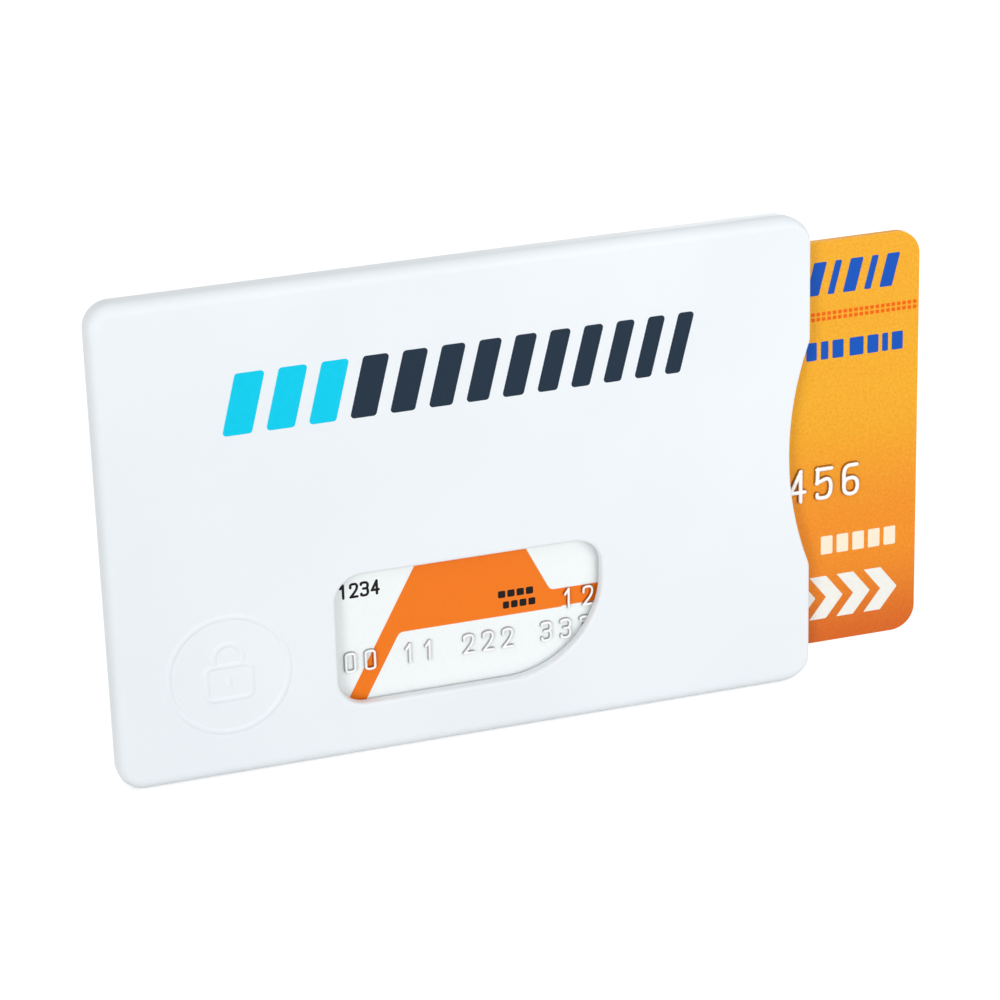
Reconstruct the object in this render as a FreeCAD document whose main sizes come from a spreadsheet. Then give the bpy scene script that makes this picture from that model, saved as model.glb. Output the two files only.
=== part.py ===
import FreeCAD, Part
import math
import os

import Sketcher

Vector = FreeCAD.Vector

# A rigid card sleeve with a payment-size card part way out of it.
# The sleeve stands upright: +X runs along it to the open end, +Z is up, and the front faces -Y.
# The origin is the centre of the flat rear face, so "depth" is measured forward from there, along -Y.

# Driving dimensions in millimetres, with what each one measures.
SIZES = (
    ("card_length", 85.60, "long side of the card"),
    ("card_height", 53.98, "short side of the card"),
    ("card_corner_radius", 3.18, "rounded corner of the card"),
    ("front_sheet_thickness", 0.32, "printed front half of the card"),
    ("inlay_thickness", 0.12, "antenna carrier between the halves"),
    ("rear_sheet_thickness", 0.32, "rear half of the card"),
    ("card_out", 15.35, "how far the card stands out of the open end at rest"),
    ("wall", 1.16, "front and rear wall of the sleeve"),
    ("rail_width", 3.96, "solid rail above and below the card"),
    ("end_wall", 2.60, "solid rail at the closed end"),
    ("slot_clearance", 0.30, "card edge to rail"),
    ("card_end_gap", 0.20, "card pushed home to the closed end's rail"),
    ("card_recess", 1.60, "card pushed home to the plane of the open end"),
    ("card_float", 0.10, "rear of the card to the rear shield"),
    ("embossing_clearance", 0.10, "raised characters to the front shield"),
    ("closed_corner_radius", 3.30, "sleeve corners at the closed end, seen from the front"),
    ("open_corner_radius", 3.50, "sleeve corners at the open end, seen from the front"),
    ("edge_radius", 1.50, "rounding of the long outer edges"),
    ("lip_radius", 0.20, "broken edge along the open end and the finger notch"),
    ("notch_width", 30.00, "finger notch along the open end"),
    ("notch_depth", 2.70, "finger notch into the open end"),
    ("shoulder_radius", 2.00, "rounded ends of the finger notch"),
    ("window_from_end", 28.00, "closed end to the window"),
    ("window_length", 34.30, "thumb window along the sleeve"),
    ("window_height", 17.25, "thumb window across the sleeve"),
    ("window_rise", 2.94, "lower rail to the window"),
    ("window_corner_radius", 3.50, "three of the window's corners"),
    ("window_sweep_radius", 12.50, "the window's wide lower corner at the open side"),
    ("window_edge_radius", 0.45, "rounded front edge of the window"),
    ("emblem_from_end", 14.30, "closed end to the emblem's centre"),
    ("emblem_from_edge", 13.80, "lower outer edge to the emblem's centre"),
    ("ring_diameter", 15.10, "middle of the raised ring"),
    ("bead_width", 0.80, "raised ring and shackle"),
    ("bead_height", 0.15, "raised ring and shackle above the face"),
    ("padlock_width", 5.60, "raised padlock body"),
    ("padlock_height", 4.40, "raised padlock body"),
    ("padlock_corner_radius", 0.85, "raised padlock body"),
    ("shackle_diameter", 3.60, "middle of the padlock's shackle"),
    ("shackle_leg", 1.00, "straight legs of the shackle above the body"),
    ("keyhole_length", 1.20, "raised stroke in the padlock body"),
    ("pin_diameter", 1.60, "locating pins between the halves"),
    ("pin_length", 0.80, "locating pins above the parting face"),
    ("pin_clearance", 0.05, "pin to socket, on the radius and at the end"),
    ("shield_thickness", 0.08, "aluminium shield"),
    ("shield_margin", 0.60, "shield edge to the rails"),
    ("shield_setback", 2.00, "shield edge to the bottom of the finger notch"),
    ("shield_window_margin", 0.60, "shield edge to the window"),
    ("frame_gap", 0.15, "shield edge to the raised frame inside the window's edge"),
    ("adhesive_thickness", 0.05, "adhesive film"),
    ("adhesive_inset", 0.25, "adhesive edge to the shield's edge"),
    ("contact_from_end", 15.06, "left end of the card to the contact plate's centre"),
    ("contact_from_top", 23.89, "top of the card to the contact plate's centre"),
    ("contact_length", 13.00, "contact plate along the card"),
    ("contact_height", 11.40, "contact plate across the card"),
    ("contact_corner_radius", 1.20, "contact plate"),
    ("contact_thickness", 0.16, "contact plate with its tape"),
    ("potting_length", 8.20, "resin behind the contact plate, along the card"),
    ("potting_height", 7.60, "resin behind the contact plate, across the card"),
    ("potting_corner_radius", 1.00, "resin behind the contact plate"),
    ("potting_depth", 0.40, "resin behind the contact plate"),
    ("stripe_from_top", 4.00, "top of the card to the magnetic stripe"),
    ("stripe_height", 12.70, "magnetic stripe"),
    ("stripe_thickness", 0.04, "magnetic stripe and signature panel"),
    ("panel_from_top", 20.00, "top of the card to the signature panel"),
    ("panel_from_end", 6.00, "end of the card to the signature panel"),
    ("panel_length", 58.00, "signature panel along the card"),
    ("panel_height", 8.00, "signature panel across the card"),
    ("panel_corner_radius", 0.80, "signature panel"),
    ("antenna_inset", 3.00, "card edge to the middle of the outer turn"),
    ("track_width", 0.60, "antenna track"),
    ("track_pitch", 1.20, "antenna track to the next turn"),
    ("track_thickness", 0.06, "antenna track"),
    ("embossing_height", 0.46, "raised characters above the card"),
    ("number_rise", 22.00, "lower edge of the card to the middle of the number line"),
    ("number_from_end", 11.15, "left end of the card to the first number's centre"),
    ("number_pitch", 3.63, "number line, one character to the next"),
    ("number_width", 1.85, "number line, middle of the side strokes"),
    ("number_tall", 3.90, "number line, middle of the top and bottom strokes"),
    ("number_stroke", 0.60, "number line, stroke"),
    ("small_pitch", 2.54, "small lines, one character to the next"),
    ("small_width", 1.15, "small lines, middle of the side strokes"),
    ("small_tall", 2.40, "small lines, middle of the top and bottom strokes"),
    ("small_stroke", 0.42, "small lines, stroke"),
    ("date_rise", 11.80, "lower edge of the card to the middle of the date line"),
    ("date_from_end", 38.60, "left end of the card to the first date number"),
    ("holder_rise", 7.75, "lower edge of the card to the middle of the lowest line"),
    ("holder_from_end", 10.20, "left end of the card to the lowest line's first character"),
    ("overrun", 1.00, "how far a cutting shape passes the face it cuts"),
)

# Sizes that follow from the ones above. Depths are measured forward from the rear face.
DERIVED = (
    ("card_thickness", "=front_sheet_thickness + inlay_thickness + rear_sheet_thickness"),
    ("slot_height", "=card_height + 2 * slot_clearance"),
    ("sleeve_height", "=slot_height + 2 * rail_width"),
    ("sleeve_length", "=end_wall + card_end_gap + card_length + card_recess"),
    ("lining", "=adhesive_thickness + shield_thickness"),
    ("card_rear_depth", "=wall + lining + card_float"),
    ("inlay_depth", "=card_rear_depth + rear_sheet_thickness"),
    ("card_sheet_depth", "=inlay_depth + inlay_thickness"),
    ("card_front_depth", "=card_rear_depth + card_thickness"),
    ("slot_front_depth", "=card_front_depth + embossing_height + embossing_clearance + lining"),
    ("sleeve_depth", "=slot_front_depth + wall"),
    ("parting_depth", "=sleeve_depth / 2"),
    ("open_end", "=sleeve_length / 2"),
    ("lower_edge", "=-sleeve_height / 2"),
    ("notch_radius", "=(notch_width * notch_width / 4 + notch_depth * notch_depth) / (2 * notch_depth)"),
    ("notch_centre", "=open_end - notch_depth + notch_radius"),
    ("slot_start", "=end_wall - open_end"),
    ("card_centre", "=open_end + card_out - card_length / 2"),
    ("window_start", "=window_from_end - open_end"),
    ("window_bottom", "=window_rise - slot_height / 2"),
    ("shield_start", "=slot_start + shield_margin"),
    ("shield_end", "=open_end - notch_depth - shield_setback"),
    ("shield_length", "=shield_end - shield_start"),
    ("shield_height", "=slot_height - 2 * shield_margin"),
    ("emblem_x", "=emblem_from_end - open_end"),
    ("emblem_z", "=lower_edge + emblem_from_edge"),
    ("bead_radius", "=(bead_width * bead_width / 4 + bead_height * bead_height) / (2 * bead_height)"),
    ("bead_depth", "=sleeve_depth + bead_height - bead_radius"),
    ("contact_x", "=contact_from_end - card_length / 2"),
    ("contact_z", "=card_height / 2 - contact_from_top"),
    ("contact_depth", "=card_front_depth - contact_thickness"),
    ("potting_rear_depth", "=contact_depth - potting_depth"),
    ("rail_middle", "=(slot_height + rail_width) / 2"),
)

# The pins stand in pairs, above and below the slot, at these shares of half the sleeve's length.
PIN_SHARES = (-0.76, 0.0, 0.76)
ANTENNA_TURNS = 4

# Points closer together than this share of the smallest rounding count as one place.
SLACK_SHARE = 0.01

# Characters as strokes between points of a grid, in shares of a character's width and height.
STROKE_SHARES = {
    "0": ((0, 0, 1, 0), (1, 0, 1, 1), (1, 1, 0, 1), (0, 1, 0, 0)),
    "1": ((0.5, 0, 0.5, 1), (0.5, 1, 0.1, 0.75)),
    "2": ((0, 1, 1, 1), (1, 1, 1, 0.5), (1, 0.5, 0, 0.5), (0, 0.5, 0, 0), (0, 0, 1, 0)),
    "3": ((0, 1, 1, 1), (1, 1, 1, 0), (1, 0, 0, 0), (0.25, 0.5, 1, 0.5)),
    "4": ((0, 1, 0, 0.4), (0, 0.4, 1, 0.4), (1, 1, 1, 0)),
    "5": ((1, 1, 0, 1), (0, 1, 0, 0.5), (0, 0.5, 1, 0.5), (1, 0.5, 1, 0), (1, 0, 0, 0)),
    "6": ((1, 1, 0, 1), (0, 1, 0, 0), (0, 0, 1, 0), (1, 0, 1, 0.5), (1, 0.5, 0, 0.5)),
    "7": ((0, 1, 1, 1), (1, 1, 0.35, 0)),
    "8": ((0, 0, 1, 0), (1, 0, 1, 1), (1, 1, 0, 1), (0, 1, 0, 0), (0, 0.5, 1, 0.5)),
    "9": ((1, 0.5, 0, 0.5), (0, 0.5, 0, 1), (0, 1, 1, 1), (1, 1, 1, 0), (1, 0, 0, 0)),
}
MIDDLE_SHARE = 0.5
NUMBER_LINE = "1234 5678 9012 3456"
DATE_LINE = "12 30"
HOLDER_LINE = "00 11 222 333 4455"

doc = FreeCAD.newDocument("card_sleeve")
sheet = doc.addObject("Spreadsheet::Sheet", "Sizes")


def fill_sheet():
    """Write the driving sizes as plain numbers, then the sizes that follow from them as formulas."""
    row = 0
    for alias, value, meaning in SIZES:
        row += 1
        sheet.set(f"A{row}", alias)
        sheet.set(f"B{row}", str(value))
        sheet.setAlias(f"B{row}", alias)
        sheet.set(f"C{row}", meaning)
    for alias, formula in DERIVED:
        row += 1
        sheet.set(f"A{row}", alias)
        sheet.set(f"B{row}", formula)
        sheet.setAlias(f"B{row}", alias)
    doc.recompute()


def size(alias):
    """One size of the sheet, in millimetres."""
    return float(sheet.get(alias))


def worth(expression):
    """The present value of an expression on the sheet's sizes."""
    return float(sheet.evalExpression(expression))


def bound(expression):
    """The expression with each size named through the sheet, as a bound property needs it."""
    words = [alias for alias, *rest in SIZES + DERIVED]
    text = ""
    word = ""
    for letter in expression + " ":
        if letter.isalnum() or letter == "_":
            word += letter
            continue
        text += f"Sizes.{word}" if word in words else word
        text += letter
        word = ""
    return text.strip()


def new_body(label):
    body = doc.addObject("PartDesign::Body", label)
    body.Label = label
    return body


def front_sketch(body, name, depth):
    """A sketch parallel to the front face, at a depth forward of the rear face."""
    plane = next(feature for feature in body.Origin.OriginFeatures if feature.Role == "XZ_Plane")
    sketch = body.newObject("Sketcher::SketchObject", name)
    sketch.AttachmentSupport = [(plane, "")]
    sketch.MapMode = "FlatFace"
    sketch.setExpression("AttachmentOffset.Base.z", bound(depth))
    return sketch


def measure(sketch, kind, places, expression):
    """A dimension of the sketch that follows the sheet."""
    index = sketch.addConstraint(Sketcher.Constraint(kind, *places, worth(expression)))
    sketch.setExpression(f"Constraints[{index}]", bound(expression))


def line(start, end):
    return Part.LineSegment(Vector(start[0], start[1], 0), Vector(end[0], end[1], 0))


def arc(centre, radius, first_degrees, last_degrees):
    circle = Part.Circle(Vector(centre[0], centre[1], 0), Vector(0, 0, 1), radius)
    return Part.ArcOfCircle(circle, math.radians(first_degrees), math.radians(last_degrees))


def rounded_rectangle(sketch, left, bottom, length, height, radii):
    """Four lines and four tangent arcs; radii go round from the lower left corner, anticlockwise."""
    x0, y0 = worth(left), worth(bottom)
    x1, y1 = x0 + worth(length), y0 + worth(height)
    lower_left, lower_right, upper_right, upper_left = [worth(radius) for radius in radii]
    outline = [
        line((x0 + lower_left, y0), (x1 - lower_right, y0)),
        arc((x1 - lower_right, y0 + lower_right), lower_right, -90, 0),
        line((x1, y0 + lower_right), (x1, y1 - upper_right)),
        arc((x1 - upper_right, y1 - upper_right), upper_right, 0, 90),
        line((x1 - upper_right, y1), (x0 + upper_left, y1)),
        arc((x0 + upper_left, y1 - upper_left), upper_left, 90, 180),
        line((x0, y1 - upper_left), (x0, y0 + lower_left)),
        arc((x0 + lower_left, y0 + lower_left), lower_left, 180, 270),
    ]
    lower, turn_1, right, turn_2, upper, turn_3, left_side, turn_4 = [sketch.addGeometry(g) for g in outline]
    ring = [lower, turn_1, right, turn_2, upper, turn_3, left_side, turn_4]
    for this, following in zip(ring, ring[1:] + ring[:1]):
        sketch.addConstraint(Sketcher.Constraint("Tangent", this, 2, following, 1))
    for level in (lower, upper):
        sketch.addConstraint(Sketcher.Constraint("Horizontal", level))
    for upright in (right, left_side):
        sketch.addConstraint(Sketcher.Constraint("Vertical", upright))
    for turn, radius in zip((turn_4, turn_1, turn_2, turn_3), radii):
        measure(sketch, "Radius", (turn,), radius)
    measure(sketch, "DistanceX", (-1, 1, left_side, 1), left)
    measure(sketch, "DistanceY", (-1, 1, lower, 1), bottom)
    measure(sketch, "DistanceX", (left_side, 1, right, 1), length)
    measure(sketch, "DistanceY", (lower, 1, upper, 1), height)


def pad(body, sketch, length):
    """Raise the sketch forward, towards -Y."""
    feature = body.newObject("PartDesign::Pad", sketch.Name + "_pad")
    feature.Profile = sketch
    feature.setExpression("Length", bound(length))
    feature.Refine = False
    doc.recompute()
    return feature


def pocket(body, sketch, length, forward=False):
    """Cut the sketch into the body, towards the rear unless forward is asked for."""
    before = body.Shape.Volume
    feature = body.newObject("PartDesign::Pocket", sketch.Name + "_pocket")
    feature.Profile = sketch
    feature.Reversed = forward
    feature.setExpression("Length", bound(length))
    doc.recompute()
    if body.Shape.Volume >= before:
        raise RuntimeError(f"{sketch.Name} cuts nothing")
    return feature


def plate(label, depth, thickness, left, bottom, length, height, radii):
    """A flat rounded plate, from a depth forward of the rear face."""
    body = new_body(label)
    sketch = front_sketch(body, label + "_outline", depth)
    rounded_rectangle(sketch, left, bottom, length, height, radii)
    pad(body, sketch, thickness)
    return body


def box(name, low, sides):
    """A box whose low corner and sides are expressions on the sheet's sizes, in X, Y, Z order."""
    feature = doc.addObject("Part::Box", name)
    for axis, place in zip("xyz", low):
        feature.setExpression(f"Placement.Base.{axis}", bound(place))
    for side, length in zip(("Length", "Width", "Height"), sides):
        feature.setExpression(side, bound(length))
    return feature


def peg(name, x, depth, z, radius, height):
    """A cylinder that stands forward, towards -Y, from a depth."""
    feature = doc.addObject("Part::Cylinder", name)
    feature.Placement.Rotation = FreeCAD.Rotation(Vector(1, 0, 0), 90)
    for axis, place in zip("xyz", (x, f"-({depth})", z)):
        feature.setExpression(f"Placement.Base.{axis}", bound(place))
    feature.setExpression("Radius", bound(radius))
    feature.setExpression("Height", bound(height))
    return feature


def cut(name, base, tool):
    feature = doc.addObject("Part::Cut", name)
    feature.Base = base
    feature.Tool = tool
    doc.recompute()
    return feature


def joined(name, shapes):
    feature = doc.addObject("Part::MultiFuse", name)
    feature.Shapes = shapes
    doc.recompute()
    return feature


def sleeve_half(label):
    """The front half of the sleeve as a solid block: a rounded outline with the finger notch in its open end.

    The notch is a wide arc, and a small arc rounds each of its shoulders.
    """
    body = new_body(label)
    sketch = front_sketch(body, label + "_outline", "parting_depth")
    x0, x1 = -size("open_end"), size("open_end")
    y0, y1 = size("lower_edge"), -size("lower_edge")
    shut, wide = size("closed_corner_radius"), size("open_corner_radius")
    round_off, wide_arc, centre = size("shoulder_radius"), size("notch_radius"), size("notch_centre")
    inward = centre - x1 + round_off
    reach = math.sqrt((wide_arc + round_off) ** 2 - inward ** 2)
    swing = math.degrees(math.atan2(reach, inward))
    outline = [
        line((x0 + shut, y0), (x1 - wide, y0)),
        arc((x1 - wide, y0 + wide), wide, -90, 0),
        line((x1, y0 + wide), (x1, -reach)),
        arc((x1 - round_off, -reach), round_off, 0, swing),
        arc((centre, 0), wide_arc, 180 - swing, 180 + swing),
        arc((x1 - round_off, reach), round_off, -swing, 0),
        line((x1, reach), (x1, y1 - wide)),
        arc((x1 - wide, y1 - wide), wide, 0, 90),
        line((x1 - wide, y1), (x0 + shut, y1)),
        arc((x0 + shut, y1 - shut), shut, 90, 180),
        line((x0, y1 - shut), (x0, y0 + shut)),
        arc((x0 + shut, y0 + shut), shut, 180, 270),
    ]
    places = [sketch.addGeometry(g) for g in outline]
    lower, turn_1, lip_1, shoulder_1, notch = places[:5]
    shoulder_2, lip_2, turn_2, upper, turn_3, closed, turn_4 = places[5:]
    for this, following in ((lower, turn_1), (turn_1, lip_1), (lip_1, shoulder_1), (shoulder_2, lip_2),
                            (lip_2, turn_2), (turn_2, upper), (upper, turn_3), (turn_3, closed),
                            (closed, turn_4), (turn_4, lower)):
        sketch.addConstraint(Sketcher.Constraint("Tangent", this, 2, following, 1))
    sketch.addConstraint(Sketcher.Constraint("Tangent", shoulder_1, 2, notch, 2))
    sketch.addConstraint(Sketcher.Constraint("Tangent", notch, 1, shoulder_2, 1))
    for level in (lower, upper):
        sketch.addConstraint(Sketcher.Constraint("Horizontal", level))
    for upright in (lip_1, lip_2, closed):
        sketch.addConstraint(Sketcher.Constraint("Vertical", upright))
    for turn in (turn_1, turn_2):
        measure(sketch, "Radius", (turn,), "open_corner_radius")
    for turn in (turn_3, turn_4):
        measure(sketch, "Radius", (turn,), "closed_corner_radius")
    for shoulder in (shoulder_1, shoulder_2):
        measure(sketch, "Radius", (shoulder,), "shoulder_radius")
    measure(sketch, "Radius", (notch,), "notch_radius")
    measure(sketch, "DistanceX", (-1, 1, notch, 3), "notch_centre")
    sketch.addConstraint(Sketcher.Constraint("PointOnObject", notch, 3, -1))
    measure(sketch, "DistanceX", (closed, 1, -1, 1), "open_end")
    measure(sketch, "DistanceY", (lower, 1, upper, 1), "sleeve_height")
    measure(sketch, "DistanceY", (-1, 1, lower, 1), "lower_edge")
    for lip in (lip_1, lip_2):
        measure(sketch, "DistanceX", (closed, 1, lip, 1), "sleeve_length")
    pad(body, sketch, "parting_depth")
    return body


def flat_edges(shape, depth):
    """Numbers of the edges that lie wholly at a depth forward of the rear face."""
    slack = size("lip_radius") * SLACK_SHARE
    return [number for number, edge in enumerate(shape.Edges, 1)
            if abs(edge.BoundBox.YMin + depth) < slack and abs(edge.BoundBox.YMax + depth) < slack]


def softened(name, base):
    """Round the front edge. Round the corners at the open end, the rounding fades into the lip."""
    slack = size("lip_radius") * SLACK_SHARE
    lip_reach = -size("lower_edge") - size("open_corner_radius")

    def radius_at(point):
        on_lip = point.x > 0 and abs(point.z) < lip_reach + slack
        return size("lip_radius") if on_lip else size("edge_radius")

    rounding = []
    for number in flat_edges(base.Shape, size("sleeve_depth")):
        edge = base.Shape.Edges[number - 1]
        first, last = edge.lastVertex(True).Point, edge.firstVertex(True).Point
        rounding.append((number, radius_at(first), radius_at(last)))
    feature = doc.addObject("Part::Fillet", name)
    feature.Base = base
    feature.Edges = rounding
    doc.recompute()
    return feature


def mirrored(name, base):
    """The same block on the other side of the parting face."""
    feature = doc.addObject("Part::Mirroring", name)
    feature.Source = base
    feature.Normal = Vector(0, 1, 0)
    feature.setExpression("Base.y", bound("-parting_depth"))
    doc.recompute()
    return feature


def card_slot(name):
    """The channel for the card and the linings, open at the sleeve's right end."""
    low = ("slot_start", "-slot_front_depth", "-slot_height / 2")
    sides = ("sleeve_length - end_wall + overrun", "slot_front_depth - wall", "slot_height")
    return box(name, low, sides)


def pin_row(name, depth, radius, length):
    """The six pins, or the six sockets that they enter."""
    pegs = []
    for column, share in enumerate(PIN_SHARES):
        for row, side in enumerate(("rail_middle", "-rail_middle")):
            x = f"open_end * {share}"
            pegs.append(peg(f"{name}_{column}{row}", x, depth, side, radius, length))
    return joined(name, pegs)


def bead_line(name, x, z, length, along_x):
    """A straight bead, half sunk in the front face, to the right or upwards from a place."""
    feature = doc.addObject("Part::Cylinder", name)
    if along_x:
        feature.Placement.Rotation = FreeCAD.Rotation(Vector(0, 1, 0), 90)
    for axis, place in zip("xyz", (x, "-bead_depth", z)):
        feature.setExpression(f"Placement.Base.{axis}", bound(place))
    feature.setExpression("Radius", bound("bead_radius"))
    feature.setExpression("Height", bound(length))
    return feature


def bead_arc(name, x, z, radius, first_degrees, sweep_degrees):
    """A bead round an arc in the front face, anticlockwise as the front is seen."""
    feature = doc.addObject("Part::Torus", name)
    upright = FreeCAD.Rotation(Vector(1, 0, 0), 90)
    feature.Placement.Rotation = upright.multiply(FreeCAD.Rotation(Vector(0, 0, 1), first_degrees))
    for axis, place in zip("xyz", (x, "-bead_depth", z)):
        feature.setExpression(f"Placement.Base.{axis}", bound(place))
    feature.setExpression("Radius1", bound(radius))
    feature.setExpression("Radius2", bound("bead_radius"))
    feature.Angle3 = sweep_degrees
    return feature


def emblem():
    """Raised ring with a padlock drawn in it, all in round beads half sunk in the face."""
    half_width, half_shackle = "padlock_width / 2", "shackle_diameter / 2"
    corner = "padlock_corner_radius"
    base = "(emblem_z - padlock_height / 2 - shackle_leg)"
    top = f"({base} + padlock_height)"
    keyhole = f"{base} + (padlock_height - keyhole_length) / 2"
    left, right = f"(emblem_x - {half_width})", f"(emblem_x + {half_width})"
    straight, upright = f"padlock_width - 2 * {corner}", f"padlock_height - 2 * {corner}"
    beads = [
        bead_arc("emblem_ring", "emblem_x", "emblem_z", "ring_diameter / 2", 0, 360),
        bead_arc("emblem_shackle", "emblem_x", f"{top} + shackle_leg", half_shackle, 0, 180),
        bead_line("emblem_left_leg", f"emblem_x - {half_shackle}", top, "shackle_leg", False),
        bead_line("emblem_right_leg", f"emblem_x + {half_shackle}", top, "shackle_leg", False),
        bead_line("emblem_keyhole", "emblem_x", keyhole, "keyhole_length", False),
        bead_line("emblem_base", f"{left} + {corner}", base, straight, True),
        bead_line("emblem_top", f"{left} + {corner}", top, straight, True),
        bead_line("emblem_left", left, f"{base} + {corner}", upright, False),
        bead_line("emblem_right", right, f"{base} + {corner}", upright, False),
    ]
    for name, x, z, first in (("lower_left", f"{left} + {corner}", f"{base} + {corner}", 180),
                              ("lower_right", f"{right} - {corner}", f"{base} + {corner}", 270),
                              ("upper_right", f"{right} - {corner}", f"{top} - {corner}", 0),
                              ("upper_left", f"{left} + {corner}", f"{top} - {corner}", 90)):
        beads.append(bead_arc(f"emblem_{name}", x, z, corner, first, 90))
    return beads


def window_outline(reach):
    """Place, sides and corner radii of an outline that lies outside the window's edge by a reach."""
    corner, sweep = f"window_corner_radius + {reach}", f"window_sweep_radius + {reach}"
    return (f"window_start - {reach}", f"window_bottom - {reach}", f"window_length + 2 * {reach}",
            f"window_height + 2 * {reach}", (corner, sweep, corner, corner))


def window_edges(shape):
    """Numbers of the window's edges in the front face."""
    slack = size("window_edge_radius")
    left, bottom = size("window_start") - slack, size("window_bottom") - slack
    right = size("window_start") + size("window_length") + slack
    top = size("window_bottom") + size("window_height") + slack

    def in_window(extent):
        return extent.XMin > left and extent.XMax < right and extent.ZMin > bottom and extent.ZMax < top

    front = flat_edges(shape, size("sleeve_depth"))
    return [number for number in front if in_window(shape.Edges[number - 1].BoundBox)]


def front_shell(block):
    """Front half: wall and rails, framed thumb window with a rounded edge, pin sockets and the emblem."""
    hollow = cut("front_hollow", block, card_slot("front_slot"))
    frame = plate("window_frame", "slot_front_depth - lining", "lining + wall / 2",
                  *window_outline("(shield_window_margin - frame_gap)"))
    framed = joined("front_framed", [hollow, frame])
    opening = plate("window_cutter", "parting_depth", "sleeve_depth", *window_outline("0"))
    windowed = cut("front_windowed", framed, opening)
    rim = doc.addObject("Part::Fillet", "front_window_rim")
    rim.Base = windowed
    radius = size("window_edge_radius")
    rim.Edges = [(number, radius, radius) for number in window_edges(windowed.Shape)]
    doc.recompute()
    sockets = pin_row("front_sockets", "parting_depth - overrun", "pin_diameter / 2 + pin_clearance",
                      "overrun + pin_length + pin_clearance")
    socketed = cut("front_socketed", rim, sockets)
    return joined("front_shell", [socketed, *emblem()])


def rear_shell(block):
    """Rear half: wall and rails, with the locating pins on its parting face."""
    hollow = cut("rear_hollow", block, card_slot("rear_slot"))
    pins = pin_row("rear_pins", "parting_depth - pin_length", "pin_diameter / 2", "2 * pin_length")
    return joined("rear_shell", [hollow, pins])


def shells():
    """Both halves of the sleeve, from one rounded block and its mirror image."""
    block = softened("front_outer", sleeve_half("front_half"))
    return [front_shell(block), rear_shell(mirrored("rear_outer", block))]


def lining(label, depth, thickness, inset, windowed):
    """A shield or its adhesive: a sheet over one wall of the slot, cut out round the window if asked."""
    body = new_body(label)
    sketch = front_sketch(body, label + "_outline", depth)
    corners = ("card_corner_radius",) * 4
    rounded_rectangle(sketch, f"shield_start + {inset}", f"-shield_height / 2 + {inset}",
                      f"shield_length - 2 * ({inset})", f"shield_height - 2 * ({inset})", corners)
    if windowed:
        rounded_rectangle(sketch, *window_outline(f"(shield_window_margin + {inset})"))
    pad(body, sketch, thickness)
    return body


def linings():
    flush, inset = "0", "adhesive_inset"
    film_depth = "slot_front_depth - adhesive_thickness"
    return [
        lining("rear_shield_adhesive", "wall", "adhesive_thickness", inset, False),
        lining("rear_shield", "wall + adhesive_thickness", "shield_thickness", flush, False),
        lining("front_shield", "slot_front_depth - lining", "shield_thickness", flush, True),
        lining("front_shield_adhesive", film_depth, "adhesive_thickness", inset, True),
    ]


def card_sheet(label, depth, thickness):
    corners = ("card_corner_radius",) * 4
    left, bottom = "-card_length / 2", "-card_height / 2"
    return plate(label, depth, thickness, left, bottom, "card_length", "card_height", corners)


def chip_outline(sketch, kind):
    """The contact plate's or the resin's rounded rectangle, about the chip's centre."""
    length, height, radius = f"{kind}_length", f"{kind}_height", f"{kind}_corner_radius"
    left, bottom = f"contact_x - {length} / 2", f"contact_z - {height} / 2"
    rounded_rectangle(sketch, left, bottom, length, height, (radius,) * 4)


def chip_pocket(body, kind, depth, length):
    sketch = front_sketch(body, f"{body.Label}_{kind}", depth)
    chip_outline(sketch, kind)
    pocket(body, sketch, length)


def chip_piece(label, kind, depth, thickness):
    body = new_body(label)
    sketch = front_sketch(body, label + "_outline", depth)
    chip_outline(sketch, kind)
    pad(body, sketch, thickness)
    return body


def antenna_runs():
    """Middle line of the flat spiral: round the card from its lower left, inwards, then to the chip.

    Each turn is a rectangle one pitch smaller, and its last side stops at the next turn's lower side.
    """
    half_length = size("card_length") / 2 - size("antenna_inset")
    half_height = size("card_height") / 2 - size("antenna_inset")
    points = [(-half_length, -half_height)]
    for turn in range(ANTENNA_TURNS):
        across = half_length - turn * size("track_pitch")
        up = half_height - turn * size("track_pitch")
        points += [(across, -up), (across, up), (-across, up)]
        if turn < ANTENNA_TURNS - 1:
            points.append((-across, -up + size("track_pitch")))
    resin_side = size("contact_x") - size("potting_length") / 2
    points.append((points[-1][0], size("contact_z")))
    points.append((resin_side - size("track_width") / 2, size("contact_z")))
    return list(zip(points, points[1:]))


def card_antenna():
    """Flat copper track: one box for each run, square at the corners, joined to one solid."""
    half = size("track_width") / 2
    rear = -size("card_sheet_depth")
    boxes = []
    for (x0, z0), (x1, z1) in antenna_runs():
        low = Vector(min(x0, x1) - half, rear, min(z0, z1) - half)
        length, height = abs(x1 - x0) + 2 * half, abs(z1 - z0) + 2 * half
        boxes.append(Part.makeBox(length, size("track_thickness"), height, low))
    feature = doc.addObject("Part::Feature", "card_antenna")
    feature.Shape = boxes[0].multiFuse(boxes[1:]).removeSplitter()
    return feature


def card_inlay(antenna):
    """Carrier sheet with the hole for the chip and the groove that the antenna fills."""
    blank = card_sheet("inlay_blank", "inlay_depth", "inlay_thickness")
    chip_pocket(blank, "potting", "card_sheet_depth", "inlay_thickness")
    blank.setExpression("Placement.Base.x", bound("card_centre"))
    return cut("card_inlay", blank, antenna)


def rear_recesses():
    """The stripe across the rear of the card and the signature panel: outline, in the card's own frame."""
    left = "-card_length / 2"
    stripe_bottom = "card_height / 2 - stripe_from_top - stripe_height"
    panel_bottom = "card_height / 2 - panel_from_top - panel_height"
    return {
        "card_magnetic_stripe": (left, stripe_bottom, "card_length", "stripe_height"),
        "card_signature_panel": (f"{left} + panel_from_end", panel_bottom, "panel_length", "panel_height"),
    }


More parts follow.
